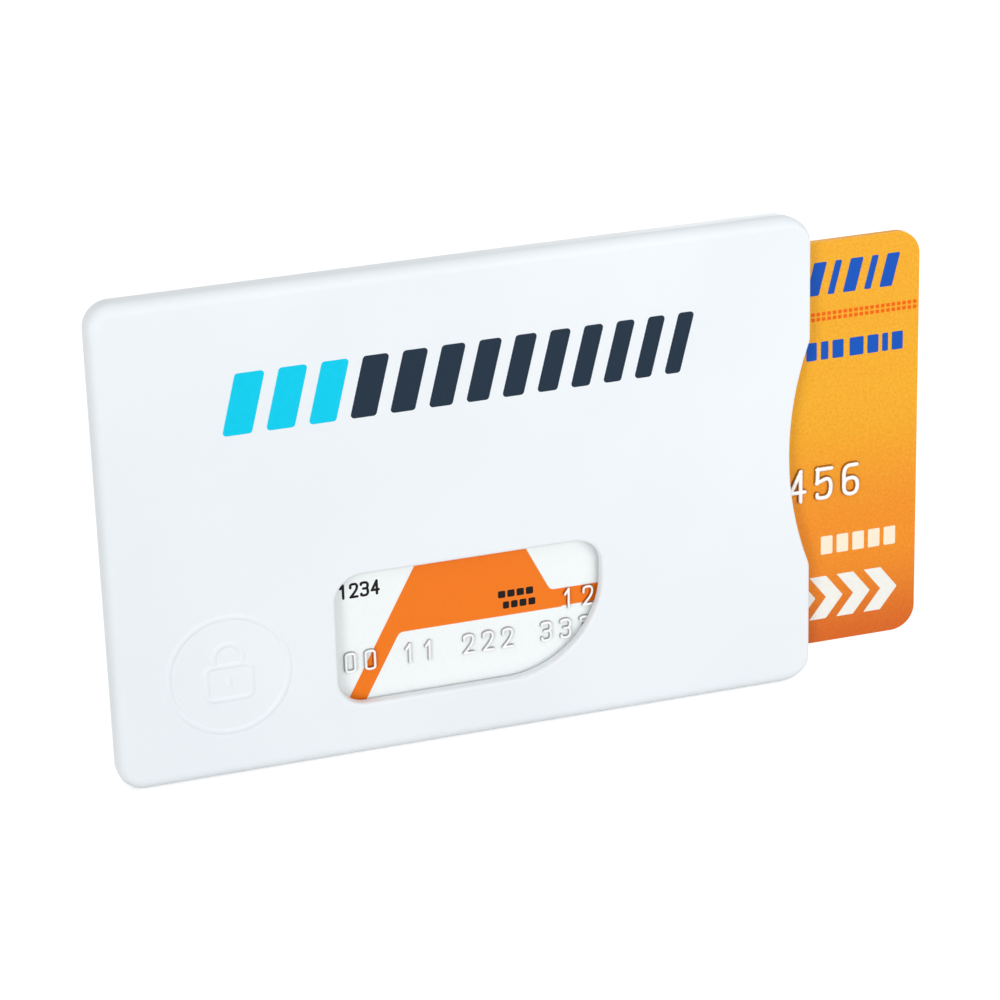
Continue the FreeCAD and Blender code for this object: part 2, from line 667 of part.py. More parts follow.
def rectangle(sketch, left, bottom, length, height):
    """Four plain lines, sized and placed by the sheet."""
    x0, y0 = worth(left), worth(bottom)
    x1, y1 = x0 + worth(length), y0 + worth(height)
    corners = [(x0, y0), (x1, y0), (x1, y1), (x0, y1)]
    sides = [sketch.addGeometry(line(a, b)) for a, b in zip(corners, corners[1:] + corners[:1])]
    lower, right, upper, left_side = sides
    for this, following in zip(sides, sides[1:] + sides[:1]):
        sketch.addConstraint(Sketcher.Constraint("Coincident", this, 2, following, 1))
    for level in (lower, upper):
        sketch.addConstraint(Sketcher.Constraint("Horizontal", level))
    for upright in (right, left_side):
        sketch.addConstraint(Sketcher.Constraint("Vertical", upright))
    measure(sketch, "DistanceX", (-1, 1, lower, 1), left)
    measure(sketch, "DistanceY", (-1, 1, lower, 1), bottom)
    measure(sketch, "DistanceX", (lower, 1, lower, 2), length)
    measure(sketch, "DistanceY", (right, 1, right, 2), height)


def recess_outline(sketch, label):
    """The stripe runs square from end to end; the panel has rounded corners."""
    outline = rear_recesses()[label]
    if label == "card_magnetic_stripe":
        rectangle(sketch, *outline)
    else:
        rounded_rectangle(sketch, *outline, ("panel_corner_radius",) * 4)


def card_rear_pieces():
    """Rear half of the card, recessed for the chip's resin, the stripe and the panel that fill it flush."""
    half = card_sheet("card_rear_sheet", "card_rear_depth", "rear_sheet_thickness")
    chip_pocket(half, "potting", "inlay_depth", "inlay_depth - potting_rear_depth")
    pieces = [half]
    for label in rear_recesses():
        recess = front_sketch(half, label + "_recess", "card_rear_depth")
        recess_outline(recess, label)
        pocket(half, recess, "stripe_thickness", forward=True)
        piece = new_body(label)
        sketch = front_sketch(piece, label + "_outline", "card_rear_depth")
        recess_outline(sketch, label)
        pad(piece, sketch, "stripe_thickness")
        pieces.append(piece)
    return pieces


def card_front_pieces():
    """Printed front half with a stepped pocket, the contact plate in the step and the resin behind it."""
    half = card_sheet("card_front_sheet", "card_sheet_depth", "front_sheet_thickness")
    chip_pocket(half, "contact", "card_front_depth", "contact_thickness")
    chip_pocket(half, "potting", "contact_depth", "contact_depth - card_sheet_depth")
    contact = chip_piece("card_contact_plate", "contact", "contact_depth", "contact_thickness")
    resin = chip_piece("card_chip_potting", "potting", "potting_rear_depth", "potting_depth")
    return [half, contact, resin]


def stroke_solid(start, end, stroke):
    """One raised stroke with round ends: a stadium on the card's face, raised by the embossing height."""
    face_depth = -size("card_front_depth")
    along = (end - start).normalize() * (stroke / 2)
    side = Vector(-along.z, 0, along.x)
    near, far = start - along, end + along
    rim = [start + side, end + side, far, end - side, start - side, near]
    left_1, left_2, tip_2, right_2, right_1, tip_1 = [point + Vector(0, face_depth, 0) for point in rim]
    wire = Part.Wire([Part.makeLine(left_1, left_2), Part.Arc(left_2, tip_2, right_2).toShape(),
                      Part.makeLine(right_2, right_1), Part.Arc(right_1, tip_1, left_1).toShape()])
    return Part.Face(wire).extrude(Vector(0, -size("embossing_height"), 0))


def raised_line(text, kind, from_end, rise):
    """One solid for each character of a line, each joined from its strokes; kind is number or small."""
    width, tall, stroke = [size(f"{kind}_{side}") for side in ("width", "tall", "stroke")]
    middle_z = rise - size("card_height") / 2
    solids = []
    for place, character in enumerate(text):
        if character == " ":
            continue
        left = from_end - size("card_length") / 2 + place * size(f"{kind}_pitch") - width / 2
        strokes = []
        for x0, z0, x1, z1 in STROKE_SHARES[character]:
            start = Vector(left + x0 * width, 0, middle_z + (z0 - MIDDLE_SHARE) * tall)
            end = Vector(left + x1 * width, 0, middle_z + (z1 - MIDDLE_SHARE) * tall)
            strokes.append(stroke_solid(start, end, stroke))
        solids.append(strokes[0].multiFuse(strokes[1:]).removeSplitter().Solids[0])
    return solids


def card_embossing():
    """Three lines of raised plain numbers, as a group of separate solids on the card's front face."""
    solids = raised_line(NUMBER_LINE, "number", size("number_from_end"), size("number_rise"))
    solids += raised_line(DATE_LINE, "small", size("date_from_end"), size("date_rise"))
    solids += raised_line(HOLDER_LINE, "small", size("holder_from_end"), size("holder_rise"))
    feature = doc.addObject("Part::Feature", "card_embossing")
    feature.Shape = Part.makeCompound(solids)
    return feature


def card_pieces():
    """All pieces of the card, moved along the sleeve to where the card rests."""
    antenna = card_antenna()
    pieces = [*card_front_pieces(), *card_rear_pieces(), antenna, card_embossing()]
    for piece in pieces:
        piece.setExpression("Placement.Base.x", bound("card_centre"))
    return [*pieces, card_inlay(antenna)]


def write_parts(pieces):
    """Check every object and every piece, then write one file for each piece."""
    for thing in doc.Objects:
        if "Invalid" in thing.State or "Error" in thing.State:
            raise RuntimeError(f"{thing.Label} failed: {thing.State}")
    for piece in pieces:
        if piece.Shape.isNull() or not piece.Shape.isValid() or not piece.Shape.Solids:
            raise RuntimeError(f"{piece.Label} has no valid solid")
    os.makedirs("parts", exist_ok=True)
    for piece in pieces:
        piece.Shape.exportStep(f"parts/{piece.Label}.step")
        extent = piece.Shape.BoundBox
        print(f"{piece.Label}: {len(piece.Shape.Solids)} solids, {piece.Shape.Volume:.2f} mm3, "
              f"x {extent.XMin:.2f}..{extent.XMax:.2f}, y {extent.YMin:.2f}..{extent.YMax:.2f}, "
              f"z {extent.ZMin:.2f}..{extent.ZMax:.2f}")


fill_sheet()
write_parts([*shells(), *linings(), *card_pieces()])
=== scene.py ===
import math

import bmesh
import bpy
import numpy as np
from mathutils import Matrix, Vector


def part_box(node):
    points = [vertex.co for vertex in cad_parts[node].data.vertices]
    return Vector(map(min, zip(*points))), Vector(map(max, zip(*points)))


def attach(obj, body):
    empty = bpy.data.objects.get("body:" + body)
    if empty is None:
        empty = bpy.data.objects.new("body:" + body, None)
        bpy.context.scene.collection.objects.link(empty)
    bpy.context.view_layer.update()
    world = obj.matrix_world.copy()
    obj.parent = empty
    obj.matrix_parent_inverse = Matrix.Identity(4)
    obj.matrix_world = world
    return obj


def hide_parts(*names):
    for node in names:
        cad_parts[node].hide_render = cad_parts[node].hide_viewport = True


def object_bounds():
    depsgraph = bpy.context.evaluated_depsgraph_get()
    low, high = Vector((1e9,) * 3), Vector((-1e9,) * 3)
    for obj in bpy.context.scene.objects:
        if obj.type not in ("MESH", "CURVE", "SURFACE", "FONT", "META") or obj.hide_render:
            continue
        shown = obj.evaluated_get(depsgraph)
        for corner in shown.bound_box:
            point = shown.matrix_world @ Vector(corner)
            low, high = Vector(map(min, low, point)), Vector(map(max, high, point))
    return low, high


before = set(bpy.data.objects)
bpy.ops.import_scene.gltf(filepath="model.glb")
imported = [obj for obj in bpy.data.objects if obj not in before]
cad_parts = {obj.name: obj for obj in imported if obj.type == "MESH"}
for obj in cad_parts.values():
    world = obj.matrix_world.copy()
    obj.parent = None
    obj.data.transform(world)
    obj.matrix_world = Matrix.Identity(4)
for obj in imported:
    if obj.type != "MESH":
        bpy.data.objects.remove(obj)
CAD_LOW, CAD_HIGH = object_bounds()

# A white card sleeve, standing on its long edge, with an orange card part way out of its open end.
# Places are in millimetres in the frame's axes: X to the open end, Z up, and the front faces -Y.
MM = 0.001
SLEEVE_LOW, SLEEVE_HIGH = [np.array(corner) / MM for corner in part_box("rear_shell")]
PARTING_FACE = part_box("front_shell")[1][1] / MM
FRONT_FACE = 2 * PARTING_FACE - SLEEVE_HIGH[1]
CARD_LOW, CARD_HIGH = [np.array(corner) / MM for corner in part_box("card_front_sheet")]
CARD_FACE = CARD_LOW[1]
CARD_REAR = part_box("card_rear_sheet")[1][1] / MM
PLATE_LOW, PLATE_HIGH = [np.array(corner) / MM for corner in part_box("card_contact_plate")]

# The camera stands to the left of the sleeve and above it, and leans a little.
CAMERA_AIM = (4.30, -4.0, 0.0)
CAMERA_DISTANCE = 444.6
CAMERA_AZIMUTH = 17.42
CAMERA_ELEVATION = 22.35
CAMERA_ROLL = 1.72
CAMERA_LENS = 131.43

# Soft lights: place, width and power, in metres and watts. The room's own light is a share of white.
LIGHTS = {
    "left": ((-1.1, -1.1, 0.08), 0.5, 9.2),
    "right": ((0.17, -0.38, 0.10), 0.25, 0.53),
    "behind": ((0.75, 1.2, 0.11), 0.46, 11.2),
}
ROOM_LIGHT = 0.65

# Printed band on the sleeve, from its closed end and its lower edge.
BAND_LEFT = 15.2
BAND_RIGHT = 74.8
BAND_BOTTOM = 44.5
BAND_TOP = 52.2
BAND_BARS = 13
BAND_CYAN_BARS = 3
BAND_GAP = 1.7
BAND_NARROWING = 0.28
BAND_SLANT = 2.0
BAND_CORNER = 0.45

# Lines of numbers on the card: first character from the card's left end, middle from its lower edge.
NUMBER_LINE = dict(text="1234 5678 9012 3456", start=11.15, rise=22.00, pitch=3.63,
                   width=1.85, tall=3.90, stroke=0.80)
DATE_LINE = dict(text="12 30", start=38.60, rise=11.80, pitch=2.54,
                 width=1.15, tall=2.40, stroke=0.47)
HOLDER_LINE = dict(text="00 11 222 333 4455", start=10.20, rise=7.75, pitch=2.54,
                   width=1.15, tall=2.40, stroke=0.47)
SMALL_LINE = dict(text="1234", start=9.75, rise=17.20, pitch=1.36,
                  width=0.84, tall=1.70, stroke=0.36)

# Heights above a face, the depth below it, and the shares and end steps of a ridge.
RAISED_HEIGHT = 0.46
INK_HEIGHT = 0.012
SINK = 0.03
STROKE_STEP = 0.015
RIDGE_FALL = 0.03
RIDGE_END_SHARE = 0.25
RIDGE_END_STEPS = 4

# Each character is one or more paths between control points, as shares of its width and height.
# A path marked LOOP is closed.
LOOP, OPEN = True, False
CHARACTER_SHARES = {
    "0": [(LOOP, [(0, .25), (0, 0), (1, 0), (1, .25), (1, .75), (1, 1), (0, 1), (0, .75)])],
    "1": [(OPEN, [(.12, .76), (.5, 1)]), (OPEN, [(.5, 1), (.5, 0)])],
    "2": [(OPEN, [(0, .72), (0, 1), (1, 1), (1, .55), (0, 0)]), (OPEN, [(0, 0), (1, 0)])],
    "3": [(OPEN, [(0, .86), (0, 1), (1, 1), (1, .53), (.32, .53)]),
          (OPEN, [(.32, .53), (1, .53), (1, 0), (0, 0), (0, .14)])],
    "4": [(OPEN, [(.74, 0), (.74, 1)]), (OPEN, [(.74, 1), (0, .3)]), (OPEN, [(0, .3), (1, .3)])],
    "5": [(OPEN, [(1, 1), (.04, 1)]), (OPEN, [(.04, 1), (0, .54)]),
          (OPEN, [(0, .54), (1, .72), (1, 0), (0, 0), (0, .12)])],
    "6": [(LOOP, [(0, 0), (1, 0), (1, .56), (0, .56)]), (OPEN, [(.9, 1), (0, 1), (0, .28)])],
    "7": [(OPEN, [(0, 1), (1, 1)]), (OPEN, [(1, 1), (.35, 0)])],
    "8": [(LOOP, [(.06, .5), (.94, .5), (.94, 1), (.06, 1)]),
          (LOOP, [(0, 0), (1, 0), (1, .55), (0, .55)])],
    "9": [(LOOP, [(0, .44), (1, .44), (1, 1), (0, 1)]), (OPEN, [(1, .72), (1, 0), (.1, 0)])],
}

# Printed marks on the card, from its left end and its lower edge.
# A row of marks has a left end, a foot, the widths of its marks, a gap, a height and a slant.
BLUE_ROWS = (
    dict(left=60.6, bottom=47.0, widths=(1.7, 0.9) * 4 + (1.7,), gap=1.15, height=4.3, slant=1.1),
    dict(left=59.3, bottom=38.5, widths=(1.4, 1.4, 0.6, 0.9, 2.2, 1.4, 1.4, 1.0, 1.5), gap=0.55,
         height=2.4, slant=0.0),
    dict(left=76.3, bottom=38.5, widths=(1.9, 1.5, 0.8, 1.5), gap=0.5, height=2.4, slant=0.0),
)
CREAM_ROWS = (dict(left=72.6, bottom=12.1, widths=(1.6,) * 5, gap=0.56, height=2.5, slant=0.0),)
BLACK_ROWS = (
    dict(left=29.5, bottom=13.1, widths=(0.95, 0.95, 0.95, 0.95), gap=0.26, height=0.95, slant=0.0),
    dict(left=30.1, bottom=11.6, widths=(0.8, 0.85, 0.9, 0.9), gap=0.26, height=0.95, slant=0.0),
)
MARK_CORNER = 0.18
DOT_ROWS = (43.62, 44.30)
DOT_COUNT = 40
DOT_SIZE = 0.48
DOT_PITCH = 0.72
DOT_MARGIN = 0.32
DOT_CORNER = 0.05
CHEVRONS = dict(tip=71.9, bottom=3.2, height=5.9, thick=2.3, depth=2.3, pitch=3.75, count=4,
                corner=0.04)

# Orange ribbon of the card's print: a slanted leg, a block beside it and a band to the right.
LEG_START = 8.3
LEG_SLANT = 0.55
LEG_WIDTH = 2.5
BAND_FOOT = 10.8
BAND_HEAD = 13.2
BLOCK_END = 36.3
BLOCK_SLANT = 0.5
RIBBON_ROUNDING = 0.8

# Orange field at the card's right: its left edge waves, and its colour changes with height.
FIELD_MIDDLE = 57.0
FIELD_WAVE = 3.0
FIELD_WAVELENGTH = 46.0
RUST_TO_ORANGE = (-1.0, 13.0)
ORANGE_TO_AMBER = (14.0, 34.0)
PRINT_EDGE = 0.05


def paint(red, green, blue):
    """A screen colour, from 0 to 255, turned into the linear values that a shader takes."""
    share = np.array([red, green, blue]) / 255
    linear = np.where(share <= 0.04045, share / 12.92, ((share + 0.055) / 1.055) ** 2.4)
    return (*linear, 1.0)


WHITE = (1.0, 1.0, 1.0, 1.0)
SHELL_WHITE = paint(237, 242, 246)
SHELL_SHADE = paint(233, 239, 243)
BAND_CYAN = paint(0, 204, 236)
BAND_SLATE = paint(28, 45, 62)
CARD_WHITE = paint(242, 247, 247)
CARD_AMBER = paint(241, 171, 32)
CARD_ORANGE = paint(238, 141, 27)
CARD_RUST = paint(211, 98, 22)
RIBBON_ORANGE = paint(241, 120, 10)
CARD_BLUE = paint(14, 84, 186)
DOT_ORANGE = paint(238, 100, 6)
CARD_CREAM = paint(250, 236, 212)
PRINT_WHITE = paint(240, 240, 234)
# Black for the black ink, and also for the painted shade on the raised characters' flanks.
INK_AND_SHADE_BLACK = paint(18, 14, 14)
FOIL_SILVER = paint(246, 246, 246)
SHIELD_GREY = paint(205, 207, 210)
ADHESIVE_CREAM = paint(232, 228, 212)
CORE_ORANGE = paint(240, 158, 44)
ANTENNA_COPPER = paint(205, 140, 100)
SEAM_BROWN = paint(120, 92, 48)
PAD_GOLD = paint(226, 192, 120)
RESIN_BLACK = paint(30, 30, 32)
BACK_LINE = paint(250, 206, 112)
STRIPE_BROWN = paint(44, 35, 31)
PANEL_PAPER = paint(240, 238, 228)
PANEL_LINE = paint(196, 204, 216)
FLOOR_GREY = paint(206, 206, 206)
DEEP_TINT = (0.98, 0.87, 0.45, 1.0)
PALE_TINT = (1.02, 1.13, 1.55, 1.0)
GRAINS_PER_METRE = 3200.0
PRINT_DOTS_PER_METRE = 5200.0
PRINT_UNEVENNESS = 0.10
CARD_SPECULAR = 0.3
INK_SPECULAR = 0.15
CUT_ROUGHNESS = 0.4
SCRATCH_ROUGHNESS = 0.2


# Shapes

def grid_faces(rows, columns, closed_rows=False, closed_columns=False):
    """Quads between neighbouring points of a grid, whose points are numbered row by row."""
    row = np.arange(rows if closed_rows else rows - 1)
    column = np.arange(columns if closed_columns else columns - 1)
    row, column = np.meshgrid(row, column, indexing="ij")
    below, beside = (row + 1) % rows, (column + 1) % columns
    here, ahead = row * columns, below * columns
    corners = [here + column, here + beside, ahead + beside, ahead + column]
    return np.stack(corners, axis=-1).reshape(-1, 4)


def rounded_polygon(corners, radius, steps=6):
    """Outline of a convex polygon, anticlockwise, with each corner replaced by an arc.

    The arc's centre lies on the corner's bisector, at the radius over the sine of half the angle. Its
    points turn evenly from the direction of one touching point to that of the other.
    """
    corners = np.asarray(corners, float)
    back = np.roll(corners, 1, axis=0) - corners
    ahead = np.roll(corners, -1, axis=0) - corners
    back /= np.linalg.norm(back, axis=1, keepdims=True)
    ahead /= np.linalg.norm(ahead, axis=1, keepdims=True)
    half = np.arccos((back * ahead).sum(1, keepdims=True)) / 2
    middle = (back + ahead) / np.linalg.norm(back + ahead, axis=1, keepdims=True)
    centre = corners + middle * radius / np.sin(half)
    first = (corners + back * radius / np.tan(half) - centre) / radius
    last = (corners + ahead * radius / np.tan(half) - centre) / radius
    turn = (np.pi - 2 * half)[:, None, :]
    share = np.linspace(0, 1, steps)[None, :, None]
    leaving, nearing = np.sin((1 - share) * turn), np.sin(share * turn)
    spoke = (leaving * first[:, None] + nearing * last[:, None]) / np.sin(turn)
    return (centre[:, None] + radius * spoke).reshape(-1, 2)


def block(left, bottom, width, height, slant=0.0):
    """Corners of a rectangle whose top leans to the right by a slant."""
    return [(left, bottom), (left + width, bottom), (left + width + slant, bottom + height),
            (left + slant, bottom + height)]


def film(outline, face, height):
    """Thin closed pad on a face that looks towards -Y.

    Copies of the outline, scaled about its middle, run from the middle below the face, out and up the
    side, over a rounded edge, and in to the middle of the top.
    """
    outline = np.asarray(outline)
    middle = outline.mean(0)
    shares = np.array([0.0, 1.0, 1.0, 0.995, 0.98, 0.0])
    depths = face + np.array([SINK, SINK, -0.6 * height, -0.9 * height, -height, -height])
    flat = middle + shares[:, None, None] * (outline - middle)
    depth = np.broadcast_to(depths[:, None, None], (*flat.shape[:2], 1))
    points = np.concatenate([flat[..., :1], depth, flat[..., 1:]], axis=-1)
    return points.reshape(-1, 3), grid_faces(len(shares), len(outline), closed_columns=True)


def soft_path(controls, closed, steps=7):
    """Uniform quadratic B-spline of the control points.

    An open one starts and ends on its first and last point.
    """
    controls = np.asarray(controls, float)
    if closed:
        controls = np.concatenate([controls, controls[:2]])
    else:
        controls = np.concatenate([controls[:1], controls, controls[-1:]])
    share = np.linspace(0, 1, steps, endpoint=False)[None, :, None]
    before, here, after = [controls[i:len(controls) - 2 + i, None, :] for i in range(3)]
    leaving, nearing = 0.5 * (1 - share) ** 2, 0.5 * share ** 2
    path = leaving * before + (0.5 + share - share ** 2) * here + nearing * after
    path = path.reshape(-1, 2)
    return path if closed else np.concatenate([path, controls[-1:]])


def ridge(path, closed, width, height, face):
    """Closed rounded ridge along a path on a face that looks towards -Y.

    Across the path the profile rises steeply from each foot to a crown. An open ridge falls a little
    from its start to its end, so that parts which cross never lie in one plane, and at its ends the
    profile shrinks to a line along a quarter circle.
    """
    half_across = np.array([0.5, 0.46, 0.38, 0.27, 0.12]) * width
    half_rise = np.array([-SINK / height, 0.18, 0.58, 0.88, 1.0]) * height
    across = np.concatenate([half_across, -half_across[::-1]])
    rise = np.concatenate([half_rise, half_rise[::-1]])
    if closed:
        along = np.roll(path, -1, axis=0) - np.roll(path, 1, axis=0)
    else:
        along = np.gradient(path, axis=0)
    along /= np.linalg.norm(along, axis=1, keepdims=True)
    spread, level = np.ones(len(path)), np.ones(len(path))
    if not closed:
        swing = np.linspace(0, np.pi / 2, RIDGE_END_STEPS, endpoint=False)
        reach = np.cos(swing)[:, None] * width / 2
        first, last = along[:1], along[-1:]
        path = np.concatenate([path[:1] - reach * first, path, path[-1:] + reach[::-1] * last])
        along = np.concatenate([np.repeat(first, len(swing), 0), along, np.repeat(last, len(swing), 0)])
        spread = np.concatenate([np.sin(swing), spread, np.sin(swing)[::-1]])
        level = np.linspace(1.0, 1.0 - RIDGE_FALL, len(path))
    side = np.stack([-along[:, 1], along[:, 0]], axis=1)
    flat = path[:, None] + side[:, None] * (across[None, :] * spread[:, None])[..., None]
    crown = level * (RIDGE_END_SHARE + (1 - RIDGE_END_SHARE) * np.sqrt(spread))
    depth = face - rise[None, :] * crown[:, None]
    points = np.stack([flat[..., 0], depth, flat[..., 1]], axis=-1)
    faces = grid_faces(len(path), len(across), closed_rows=closed, closed_columns=True)
    return points.reshape(-1, 3), faces


def text_ridges(line, height):
    """The ridges of a line of characters on the card.

    Each stroke of a character is a little lower than the last.
    """
    parts = []
    for place, character in enumerate(line["text"]):
        left = CARD_LOW[0] + line["start"] + place * line["pitch"] - line["width"] / 2
        bottom = CARD_LOW[2] + line["rise"] - line["tall"] / 2
        for order, (closed, shares) in enumerate(CHARACTER_SHARES.get(character, [])):
            controls = np.array([left, bottom]) + np.array(shares) * (line["width"], line["tall"])
            stroke_height = height * (1 - STROKE_STEP * order)
            path = soft_path(controls, closed)
            parts.append(ridge(path, closed, line["stroke"], stroke_height, CARD_FACE))
    return parts


def card_film(corners, radius, steps=5):
    """A pad of ink on the card, from corners that are measured from the card's lower left corner."""
    corners = np.asarray(corners, float) + (CARD_LOW[0], CARD_LOW[2])
    return film(rounded_polygon(corners, radius, steps), CARD_FACE, INK_HEIGHT)


def new_piece(name, parts, material, body, smooth=False):
    """One mesh from sets of points in millimetres and faces, with poles merged, riding on a body."""
    starts = np.cumsum([0] + [len(points) for points, _ in parts])
    points = np.concatenate([points for points, _ in parts]) * MM
    faces = np.concatenate([faces + start for (_, faces), start in zip(parts, starts)])
    mesh = bpy.data.meshes.new(name)
    mesh.from_pydata(points.tolist(), [], faces.tolist())
    merged = bmesh.new()
    merged.from_mesh(mesh)
    bmesh.ops.remove_doubles(merged, verts=merged.verts, dist=1e-4 * MM)
    merged.to_mesh(mesh)
    merged.free()
    mesh.validate()
    mesh.materials.append(material)
    if smooth:
        mesh.shade_smooth()
    piece = bpy.data.objects.new(name, mesh)
    bpy.context.scene.collection.objects.link(piece)
    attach(piece, body)
    return piece


# Shader nodes

def add_node(tree, kind, inputs=None, **settings):
    """A shader node with its settings; each input is a value or another node's output."""
    node = tree.nodes.new(kind)
    for name, value in settings.items():
        setattr(node, name, value)
    for name, value in (inputs or {}).items():
        if isinstance(value, bpy.types.NodeSocket):
            tree.links.new(value, node.inputs[name])
        else:
            node.inputs[name].default_value = value
    return node


def maths(tree, operation, *values):
    """Output of a Math node."""
    return add_node(tree, "ShaderNodeMath", dict(enumerate(values)), operation=operation).outputs[0]


def blended(tree, share, first, second):
    """Output of a colour Mix node."""
    return add_node(tree, "ShaderNodeMix", {0: share, 6: first, 7: second}, data_type="RGBA").outputs[2]


def shaded(tree, colour, tone):
    """A colour's output times a tint or a value."""
    return add_node(tree, "ShaderNodeVectorMath", {0: colour, 1: tone}, operation="MULTIPLY").outputs[0]


def mottled(tree, share, colour, depth):
    """A colour that a value spreads from darker to lighter by a share of itself."""
    dark, light = [(*(part * tone for part in colour[:3]), 1.0) for tone in (1 - depth, 1 + depth)]
    return blended(tree, share, dark, light)


def ramped(tree, value, low, high):
    """A value spread smoothly from 0 at low to 1 at high."""
    limits = {0: value, 1: low, 2: high}
    return add_node(tree, "ShaderNodeMapRange", limits, interpolation_type="SMOOTHSTEP").outputs[0]


def noise(tree, vector, scale, detail=2.0):
    """Value of a Noise texture."""
    settings = {"Vector": vector, "Scale": scale, "Detail": detail}
    return add_node(tree, "ShaderNodeTexNoise", settings).outputs[0]


def parts_of(tree, vector):
    """The X, Y and Z of a vector."""
    return add_node(tree, "ShaderNodeSeparateXYZ", {0: vector}).outputs


def new_group(name, inputs, outputs):
    """An empty shader node group with named sockets, and its two end nodes."""
    group = bpy.data.node_groups.new(name, "ShaderNodeTree")
    for label, kind, value in inputs:
        socket = group.interface.new_socket(label, in_out="INPUT", socket_type=kind)
        if value is not None:
            socket.default_value = value
    for label, kind in outputs:
        group.interface.new_socket(label, in_out="OUTPUT", socket_type=kind)
    return group, group.nodes.new("NodeGroupInput"), group.nodes.new("NodeGroupOutput")


def moulded_grain():
    """Fine pitted texture of a moulded face, with a slow unevenness below it."""
    group, given, result = new_group(
        "moulded grain",
        [("Vector", "NodeSocketVector", None), ("Pits per metre", "NodeSocketFloat", 3500.0)],
        [("Height", "NodeSocketFloat"), ("Tone", "NodeSocketFloat")])
    vector = given.outputs["Vector"]
    pits = noise(group, vector, given.outputs["Pits per metre"])
    slow = noise(group, vector, scale=38.0, detail=1.5)
    pit_depth = 0.25
    height = maths(group, "MULTIPLY_ADD", pits, pit_depth, slow)
    group.links.new(height, result.inputs["Height"])
    group.links.new(slow, result.inputs["Tone"])
    return group


def handling_marks():
    """Faint smudges, and sparse hair scratches in two directions.

    A scratch is where a stretched noise comes near its middle value, and a slow noise keeps only some.
    """
    group, given, result = new_group(
        "handling marks",
        [("Vector", "NodeSocketVector", None), ("Scratch width", "NodeSocketFloat", 0.004)],
        [("Smudge", "NodeSocketFloat"), ("Scratch", "NodeSocketFloat")])
    vector = given.outputs["Vector"]
    smudge = ramped(group, noise(group, vector, scale=90.0, detail=3.0), low=0.42, high=0.68)
    group.links.new(smudge, result.inputs["Smudge"])
    stretch, middle = 14.0, 0.5
    marks = []
    for turn, place in ((0.5, 0.0), (-0.9, 3.1)):
        aligned = add_node(group, "ShaderNodeMapping", {
            "Vector": vector, "Location": (place, place, place), "Rotation": (0.0, turn, 0.0),
            "Scale": (1.0, 1.0, stretch)})
        stretched = noise(group, aligned.outputs[0], scale=60.0, detail=1.0)
        off_middle = maths(group, "ABSOLUTE", maths(group, "SUBTRACT", stretched, middle))
        marks.append(maths(group, "LESS_THAN", off_middle, given.outputs["Scratch width"]))
    sparse = ramped(group, noise(group, vector, scale=140.0, detail=1.0), low=0.56, high=0.72)
    scratch = maths(group, "MULTIPLY", maths(group, "MAXIMUM", *marks), sparse)
    group.links.new(scratch, result.inputs["Scratch"])
    return group


def card_print():
    """Colours of the card's front: a white ground, an orange ribbon and an orange field on the right.

    In millimetres from the card's lower left corner. The ribbon's parts are each how far a place lies
    inside two straight edges. They are joined by a smooth maximum, which rounds the corners between
    them, and cut off along the leg's left edge. The field's edge is a sine wave up the card. The field
    darkens from amber at the top to rust at the foot, and a fine noise spreads it from a deeper to a
    paler tint.
    """
    group, given, result = new_group(
        "card print", [("Vector", "NodeSocketVector", None)], [("Color", "NodeSocketColor")])
    vector = given.outputs["Vector"]
    from_corner = add_node(group, "ShaderNodeMapping", {
        "Vector": vector, "Location": (-CARD_LOW[0], 0.0, -CARD_LOW[2]),
        "Scale": (1 / MM, 1 / MM, 1 / MM)})
    x, _, z = parts_of(group, from_corner.outputs[0])

    def inside(first, second):
        """How far a place lies inside two edges: the smaller distance."""
        return maths(group, "MINIMUM", first, second)

    def joined(first, second):
        """Two parts as one: the larger distance, rounded where they meet."""
        return maths(group, "SMOOTH_MAX", first, second, RIBBON_ROUNDING)

    def filled(distance, ground, colour):
        """A colour over a ground where the distance is above zero."""
        return blended(group, ramped(group, distance, -PRINT_EDGE, PRINT_EDGE), ground, colour)

    from_leg = maths(group, "SUBTRACT", maths(group, "MULTIPLY_ADD", z, -LEG_SLANT, x), LEG_START)
    above_foot = maths(group, "SUBTRACT", z, BAND_FOOT)
    below_head = maths(group, "SUBTRACT", BAND_HEAD, z)
    short_of_end = maths(group, "SUBTRACT", BLOCK_END, x)
    before_end = maths(group, "MULTIPLY_ADD", below_head, BLOCK_SLANT, short_of_end)
    leg = inside(from_leg, maths(group, "SUBTRACT", LEG_WIDTH, from_leg))
    band = inside(above_foot, below_head)
    ribbon = inside(joined(joined(band, inside(above_foot, before_end)), leg), from_leg)
    colour = filled(ribbon, CARD_WHITE, RIBBON_ORANGE)
    upper_field = blended(group, ramped(group, z, *ORANGE_TO_AMBER), CARD_ORANGE, CARD_AMBER)
    field = blended(group, ramped(group, z, *RUST_TO_ORANGE), CARD_RUST, upper_field)
    grain = ramped(group, noise(group, vector, GRAINS_PER_METRE), low=0.25, high=0.75)
    field = shaded(group, field, blended(group, grain, DEEP_TINT, PALE_TINT))
    phase = maths(group, "MULTIPLY", z, 2 * math.pi / FIELD_WAVELENGTH)
    edge = maths(group, "MULTIPLY_ADD", maths(group, "SINE", phase), FIELD_WAVE, FIELD_MIDDLE)
    colour = filled(maths(group, "SUBTRACT", x, edge), colour, field)
    dots = noise(group, vector, PRINT_DOTS_PER_METRE, detail=1.0)
    tone = maths(group, "MULTIPLY_ADD", dots, PRINT_UNEVENNESS, 1 - PRINT_UNEVENNESS / 2)
    group.links.new(shaded(group, colour, tone), result.inputs["Color"])
    return group


GROUPS = {"grain": moulded_grain(), "marks": handling_marks(), "print": card_print()}


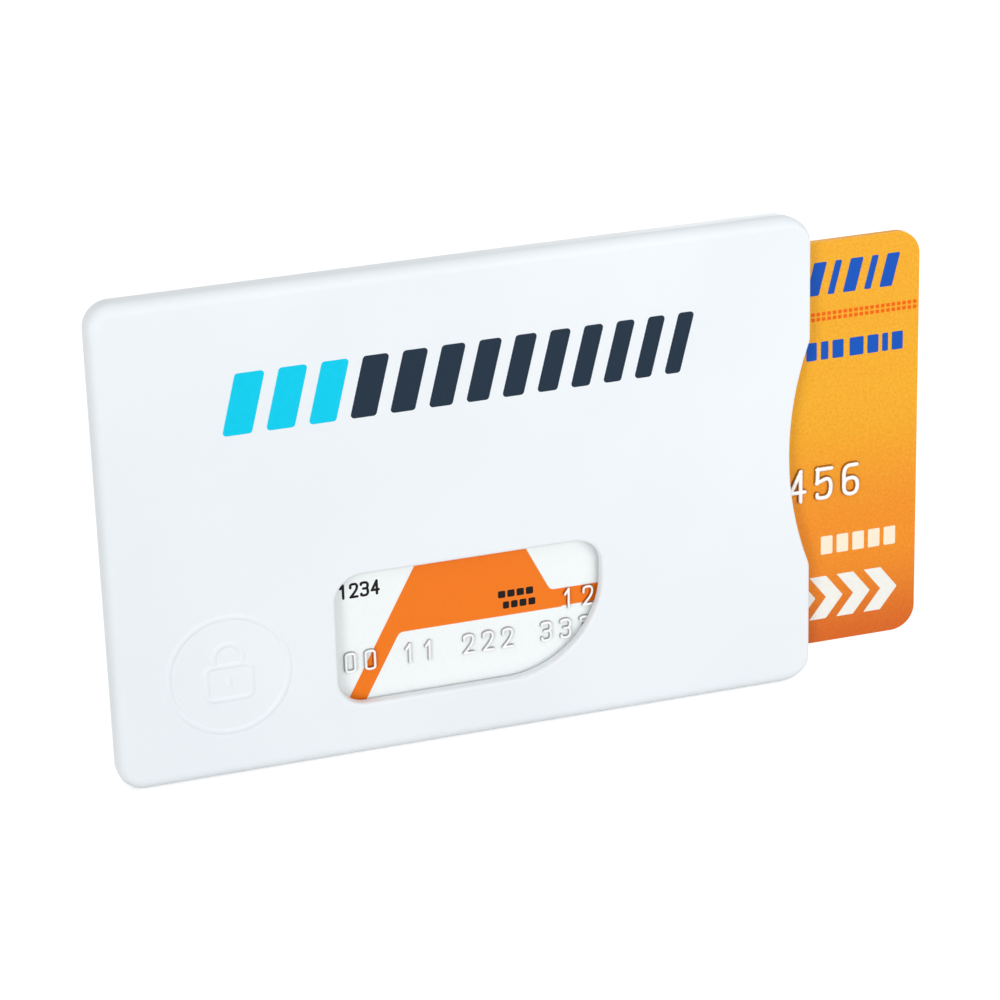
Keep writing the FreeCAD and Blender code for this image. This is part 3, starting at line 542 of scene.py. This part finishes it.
def place_group(tree, kind, vector):
    """A shared effect in a material, on the material's own coordinates."""
    node = tree.nodes.new("ShaderNodeGroup")
    node.node_tree = GROUPS[kind]
    tree.links.new(vector, node.inputs["Vector"])
    return node.outputs


def new_material(name, colour, roughness, **constants):
    """A material with one Principled shader, with its tree, its shader and its Object coordinates."""
    material = bpy.data.materials.new(name)
    material.use_nodes = True
    tree = material.node_tree
    shader = tree.nodes["Principled BSDF"]
    shader.inputs["Base Color"].default_value = colour
    shader.inputs["Roughness"].default_value = roughness
    for label, value in constants.items():
        shader.inputs[label.replace("_", " ")].default_value = value
    vector = tree.nodes.new("ShaderNodeTexCoord").outputs["Object"]
    return material, tree, shader, vector


def worn_roughness(tree, shader, vector, low, high, cut=0.0):
    """Roughness between two values: smudges polish the surface, scratches and cut edges dull it."""
    marks = place_group(tree, "marks", vector)
    level = maths(tree, "MULTIPLY_ADD", marks["Smudge"], low - high, high)
    dulled = maths(tree, "MULTIPLY_ADD", marks["Scratch"], SCRATCH_ROUGHNESS, level)
    rough = maths(tree, "MULTIPLY_ADD", cut, CUT_ROUGHNESS, dulled)
    tree.links.new(rough, shader.inputs["Roughness"])


def bumped(tree, shader, height, strength, distance):
    """A Bump node whose relief is a distance in millimetres."""
    relief = {"Height": height, "Strength": strength, "Distance": distance * MM}
    tree.links.new(add_node(tree, "ShaderNodeBump", relief).outputs[0], shader.inputs["Normal"])


def shell_plastic():
    """Cool white satin plastic with a fine moulded grain and faint handling marks."""
    material, tree, shader, vector = new_material("shell_plastic", SHELL_WHITE, roughness=0.51)
    grain = place_group(tree, "grain", vector)
    tone = ramped(tree, grain["Tone"], low=0.3, high=0.7)
    tree.links.new(blended(tree, tone, SHELL_SHADE, SHELL_WHITE), shader.inputs["Base Color"])
    worn_roughness(tree, shader, vector, low=0.47, high=0.55)
    bumped(tree, shader, grain["Height"], strength=0.12, distance=0.05)
    return material


def printed_ink(name, colour, roughness=0.4, spread=0.05):
    """Screen-printed ink, slightly uneven in tone and gloss."""
    material, tree, shader, vector = new_material(
        name, colour, roughness, Specular_IOR_Level=INK_SPECULAR)
    tone = noise(tree, vector, scale=1500.0, detail=3.0)
    tree.links.new(mottled(tree, tone, colour, depth=0.06), shader.inputs["Base Color"])
    worn_roughness(tree, shader, vector, roughness - spread, roughness + spread)
    return material


def card_laminate():
    """Printed card under a clear laminate, which is dull at the cut edges."""
    material, tree, shader, vector = new_material(
        "card_print", CARD_ORANGE, roughness=0.34, Specular_IOR_Level=CARD_SPECULAR)
    printed = place_group(tree, "print", vector)["Color"]
    on_edge = maths(tree, "GREATER_THAN", parts_of(tree, vector)[1], (CARD_FACE + SINK) * MM)
    tree.links.new(printed, shader.inputs["Base Color"])
    worn_roughness(tree, shader, vector, low=0.28, high=0.38, cut=on_edge)
    return material


def card_back():
    """Back of the card: amber with fine waving lines, and the print's own colour at the cut edges."""
    material, tree, shader, vector = new_material(
        "card_rear_print", CARD_AMBER, roughness=0.36, Specular_IOR_Level=CARD_SPECULAR)
    waves = {"Vector": vector, "Scale": 420.0, "Distortion": 5.0, "Detail": 0.0, "Detail Scale": 0.16}
    lines = add_node(tree, "ShaderNodeTexWave", waves, bands_direction="Z").outputs["Fac"]
    line_strength = 0.4
    line = maths(tree, "MULTIPLY", ramped(tree, lines, low=0.6, high=0.9), line_strength)
    ground = blended(tree, line, CARD_AMBER, BACK_LINE)
    printed = place_group(tree, "print", vector)["Color"]
    on_back = maths(tree, "GREATER_THAN", parts_of(tree, vector)[1], (CARD_REAR - SINK) * MM)
    on_edge = maths(tree, "SUBTRACT", 1.0, on_back)
    tree.links.new(blended(tree, on_back, printed, ground), shader.inputs["Base Color"])
    worn_roughness(tree, shader, vector, low=0.3, high=0.4, cut=on_edge)
    return material


def raised_foil():
    """Raised characters: worn silver foil on the crowns, and on the flanks painted shade, the card's
    print darkened towards black.
    """
    material, tree, shader, vector = new_material("embossing_foil", FOIL_SILVER, roughness=0.3)
    wear, foil_foot, foil_top = 0.08 * MM, 0.32 * MM, 0.42 * MM
    flank_painted_shade, shine = 0.58, 0.2
    printed = place_group(tree, "print", vector)["Color"]
    rise = maths(tree, "SUBTRACT", CARD_FACE * MM, parts_of(tree, vector)[1])
    worn = maths(tree, "MULTIPLY_ADD", noise(tree, vector, scale=2600.0), wear, rise)
    crown = ramped(tree, worn, foil_foot, foil_top)
    # Painted shade: below the foil, each flank takes the card's print darkened towards black by a fixed
    # share.
    flank = blended(tree, flank_painted_shade, printed, INK_AND_SHADE_BLACK)
    tree.links.new(blended(tree, crown, flank, FOIL_SILVER), shader.inputs["Base Color"])
    tree.links.new(maths(tree, "MULTIPLY", crown, shine), shader.inputs["Metallic"])
    return material


def metal(name, colour, roughness, spread=0.2):
    """Thin rolled metal: streaks along the sheet vary its gloss."""
    material, tree, shader, vector = new_material(name, colour, roughness, Metallic=1.0)
    drawn = add_node(tree, "ShaderNodeMapping", {"Vector": vector, "Scale": (40.0, 900.0, 900.0)})
    streak = noise(tree, drawn.outputs[0], scale=4.0, detail=3.0)
    level = maths(tree, "MULTIPLY_ADD", streak, spread, roughness - spread / 2)
    tree.links.new(level, shader.inputs["Roughness"])
    bumped(tree, shader, streak, strength=0.1, distance=0.02)
    return material


def plain_plastic(name, colour, roughness, spread=0.06):
    """A plain sheet or film with a little mottle."""
    material, tree, shader, vector = new_material(name, colour, roughness)
    tone = noise(tree, vector, scale=900.0, detail=3.0)
    tree.links.new(mottled(tree, tone, colour, depth=0.07), shader.inputs["Base Color"])
    worn_roughness(tree, shader, vector, roughness - spread, roughness + spread)
    return material


def magnetic_stripe():
    """Dark brown tape with faint streaks along its length."""
    material, tree, shader, vector = new_material("magnetic_stripe", STRIPE_BROWN, roughness=0.38)
    drawn = add_node(tree, "ShaderNodeMapping", {"Vector": vector, "Scale": (25.0, 1200.0, 1200.0)})
    streak = noise(tree, drawn.outputs[0], scale=3.0, detail=3.0)
    tree.links.new(mottled(tree, streak, STRIPE_BROWN, depth=0.25), shader.inputs["Base Color"])
    worn_roughness(tree, shader, vector, low=0.3, high=0.42)
    return material


def signature_panel():
    """Matt paper-white panel with fine slanting lines."""
    material, tree, shader, vector = new_material("signature_panel", PANEL_PAPER, roughness=0.75)
    slanting = {"Vector": vector, "Scale": 520.0}
    lines = add_node(tree, "ShaderNodeTexWave", slanting, bands_direction="DIAGONAL").outputs["Fac"]
    line_strength = 0.5
    line = maths(tree, "MULTIPLY", ramped(tree, lines, low=0.75, high=0.9), line_strength)
    tree.links.new(blended(tree, line, PANEL_PAPER, PANEL_LINE), shader.inputs["Base Color"])
    bumped(tree, shader, noise(tree, vector, scale=4000.0), strength=0.2, distance=0.02)
    return material


def dress_nodes():
    """Give every solid of the frame its finish."""
    shell = shell_plastic()
    foil = metal("shield_foil", SHIELD_GREY, roughness=0.3)
    adhesive = plain_plastic("adhesive_film", ADHESIVE_CREAM, roughness=0.4)
    finishes = {
        "front_shell": shell,
        "rear_shell": shell,
        "front_shield": foil,
        "rear_shield": foil,
        "front_shield_adhesive": adhesive,
        "rear_shield_adhesive": adhesive,
        "card_front_sheet": card_laminate(),
        "card_rear_sheet": card_back(),
        "card_inlay": plain_plastic("card_core", CORE_ORANGE, roughness=0.7),
        "card_antenna": metal("antenna_copper", ANTENNA_COPPER, roughness=0.35),
        "card_contact_plate": metal("contact_seams", SEAM_BROWN, roughness=0.45),
        "card_chip_potting": plain_plastic("chip_resin", RESIN_BLACK, roughness=0.3),
        "card_magnetic_stripe": magnetic_stripe(),
        "card_signature_panel": signature_panel(),
        "card_embossing": foil,
    }
    for name, material in finishes.items():
        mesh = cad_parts[name].data
        mesh.materials.clear()
        mesh.materials.append(material)


# Pieces

def sleeve_print():
    """Slanted bars that grow narrower to the right, the first few cyan and the rest slate."""
    shares = 1 - BAND_NARROWING * np.linspace(-1, 1, BAND_BARS)
    room = BAND_RIGHT - BAND_LEFT - BAND_SLANT - BAND_GAP * (BAND_BARS - 1)
    widths = room * shares / shares.sum()
    lefts = SLEEVE_LOW[0] + BAND_LEFT + np.cumsum(widths + BAND_GAP) - widths - BAND_GAP
    bottom = SLEEVE_LOW[2] + BAND_BOTTOM
    bars = []
    for left, width in zip(lefts, widths):
        corners = block(left, bottom, width, BAND_TOP - BAND_BOTTOM, BAND_SLANT)
        bars.append(film(rounded_polygon(corners, BAND_CORNER), FRONT_FACE, INK_HEIGHT))
    cyan, slate = printed_ink("cyan_ink", BAND_CYAN), printed_ink("slate_ink", BAND_SLATE)
    new_piece("sleeve_print_cyan", bars[:BAND_CYAN_BARS], cyan, "sleeve")
    new_piece("sleeve_print_slate", bars[BAND_CYAN_BARS:], slate, "sleeve")


def mark_rows(rows):
    """Pads of ink on the card in rows, one after another from each row's left end."""
    parts = []
    for row in rows:
        widths = np.array(row["widths"])
        lefts = row["left"] + np.cumsum(widths + row["gap"]) - widths - row["gap"]
        for left, width in zip(lefts, widths):
            mark = block(left, row["bottom"], width, row["height"], row["slant"])
            parts.append(card_film(mark, MARK_CORNER))
    return parts


def row_print():
    """Blue bars and a broken blue line above the numbers, and cream tabs below them."""
    blue, cream = printed_ink("blue_ink", CARD_BLUE), printed_ink("cream_ink", CARD_CREAM)
    new_piece("card_print_blue", mark_rows(BLUE_ROWS), blue, "card")
    new_piece("card_print_cream", mark_rows(CREAM_ROWS), cream, "card")


def dotted_rule():
    """Two rows of small squares from below the sleeve's edge to the card's end."""
    end = CARD_HIGH[0] - CARD_LOW[0] - DOT_MARGIN - DOT_SIZE
    lefts = end - DOT_PITCH * np.arange(DOT_COUNT)
    squares = [block(left, bottom, DOT_SIZE, DOT_SIZE) for bottom in DOT_ROWS for left in lefts]
    parts = [card_film(square, DOT_CORNER, steps=2) for square in squares]
    new_piece("card_print_dots", parts, printed_ink("dot_ink", DOT_ORANGE), "card")


def chevrons():
    """A row of white chevrons that point to the card's end, each of two slanted arms."""
    row = CHEVRONS
    half, thick, depth = row["height"] / 2, row["thick"], row["depth"]
    arms = []
    for place in range(row["count"]):
        left = row["tip"] - depth + place * row["pitch"] - thick
        arms.append(block(left + depth, row["bottom"] + half, thick, half, -depth))
        arms.append(block(left, row["bottom"], thick, half, depth))
    parts = [card_film(arm, row["corner"]) for arm in arms]
    new_piece("card_print_chevrons", parts, printed_ink("white_ink", PRINT_WHITE), "card")


def dark_print():
    """Four small flat numbers and two rows of short marks."""
    parts = text_ridges(SMALL_LINE, INK_HEIGHT) + mark_rows(BLACK_ROWS)
    new_piece("card_print_black", parts, printed_ink("black_ink", INK_AND_SHADE_BLACK), "card")


def contact_pads():
    """Gold pads on the contact plate: four at each side of a long one, with narrow seams between."""
    margin, seam, corner = 0.25, 0.22, 0.5
    side_width, rows = 4.3, 4
    width, height = PLATE_HIGH[0] - PLATE_LOW[0], PLATE_HIGH[2] - PLATE_LOW[2]
    pad_height = (height - 2 * margin - (rows - 1) * seam) / rows
    middle_width = width - 2 * (margin + side_width + seam)
    pads = [block(margin + side_width + seam, margin, middle_width, height - 2 * margin)]
    for row in range(rows):
        bottom = margin + row * (pad_height + seam)
        pads.append(block(margin, bottom, side_width, pad_height))
        pads.append(block(width - margin - side_width, bottom, side_width, pad_height))
    corner_place = (PLATE_LOW[0], PLATE_LOW[2])
    outlines = [rounded_polygon(np.add(pad, corner_place), corner) for pad in pads]
    parts = [film(outline, CARD_FACE, INK_HEIGHT) for outline in outlines]
    gold = metal("contact_gold", PAD_GOLD, roughness=0.25)
    new_piece("card_contact_pads", parts, gold, "card")


def raised_numbers():
    """The card's three raised lines, which stand for the plain solids."""
    parts = []
    for line in (NUMBER_LINE, DATE_LINE, HOLDER_LINE):
        parts += text_ridges(line, RAISED_HEIGHT)
    piece = new_piece("card_raised_numbers", parts, raised_foil(), "card", smooth=True)
    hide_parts("card_embossing")


# Stage

def place_camera():
    """The camera looks at its aim from a distance, turned to the left, raised and leaning."""
    turn, lift, lean = [math.radians(a) for a in (CAMERA_AZIMUTH, CAMERA_ELEVATION, CAMERA_ROLL)]
    ahead = Vector((math.sin(turn) * math.cos(lift), math.cos(turn) * math.cos(lift), -math.sin(lift)))
    level = Vector((math.cos(turn), -math.sin(turn), 0.0))
    above = level.cross(ahead)
    right = level * math.cos(lean) - above * math.sin(lean)
    up = right.cross(ahead)
    camera = bpy.data.objects.new("camera", bpy.data.cameras.new("camera"))
    place = Vector(CAMERA_AIM) - ahead * CAMERA_DISTANCE
    facing = Matrix((right, up, -ahead)).transposed().to_4x4()
    camera.matrix_world = Matrix.Translation(place * MM) @ facing
    camera.data.lens = CAMERA_LENS
    camera.data.clip_start = 0.01
    bpy.context.scene.collection.objects.link(camera)
    bpy.context.scene.camera = camera


def area_light(name, place, size, power):
    """A square soft light that faces the object; places in metres."""
    data = bpy.data.lights.new(name, "AREA")
    data.size = size
    data.energy = power
    lamp = bpy.data.objects.new(name, data)
    lamp.location = place
    lamp.rotation_euler = (-Vector(place)).to_track_quat("-Z", "Y").to_euler()
    bpy.context.scene.collection.objects.link(lamp)


def seen_directly(tree):
    """1 for rays from the camera or from a reflecting or clear face, and 0 for the rest."""
    rays = tree.nodes.new("ShaderNodeLightPath").outputs
    passed_on = maths(tree, "MAXIMUM", rays["Is Glossy Ray"], rays["Is Transmission Ray"])
    return maths(tree, "MAXIMUM", rays["Is Camera Ray"], passed_on)


def white_floor():
    """A pale floor under the sleeve, which the camera and reflections see as white.

    Its glow grows with the distance from the sleeve, so that the far floor meets the white surroundings.
    """
    half, height = 6.0, CAD_LOW[2]
    near_glow, far_glow = 0.57, 0.73
    near, far = 0.1, 1.2
    mesh = bpy.data.meshes.new("floor")
    corners = [(x, y, height) for x, y in ((-half, -half), (half, -half), (half, half), (-half, half))]
    mesh.from_pydata(corners, [], [(0, 1, 2, 3)])
    floor = bpy.data.objects.new("floor", mesh)
    bpy.context.scene.collection.objects.link(floor)
    material, tree, shader, vector = new_material("floor", FLOOR_GREY, roughness=0.9)
    seen = seen_directly(tree)
    shader.inputs["Emission Color"].default_value = WHITE
    away = add_node(tree, "ShaderNodeVectorMath", {0: vector}, operation="LENGTH").outputs["Value"]
    glow = maths(tree, "MULTIPLY_ADD", ramped(tree, away, near, far), far_glow - near_glow, near_glow)
    tree.links.new(maths(tree, "MULTIPLY", seen, glow), shader.inputs["Emission Strength"])
    mesh.materials.append(material)


def studio_light():
    """Even white surroundings and three soft lights: front left, near front right, and behind."""
    world = bpy.data.worlds.new("studio")
    world.use_nodes = True
    bpy.context.scene.world = world
    tree = world.node_tree
    background = tree.nodes["Background"]
    background.inputs["Color"].default_value = WHITE
    strength = maths(tree, "MULTIPLY_ADD", seen_directly(tree), 1 - ROOM_LIGHT, ROOM_LIGHT)
    tree.links.new(strength, background.inputs["Strength"])
    for name, (place, size, power) in LIGHTS.items():
        area_light(name, place, size, power)


dress_nodes()
sleeve_print()
row_print()
dotted_rule()
chevrons()
dark_print()
contact_pads()
raised_numbers()
white_floor()
studio_light()
place_camera()
bpy.context.scene.view_settings.view_transform = "Standard"
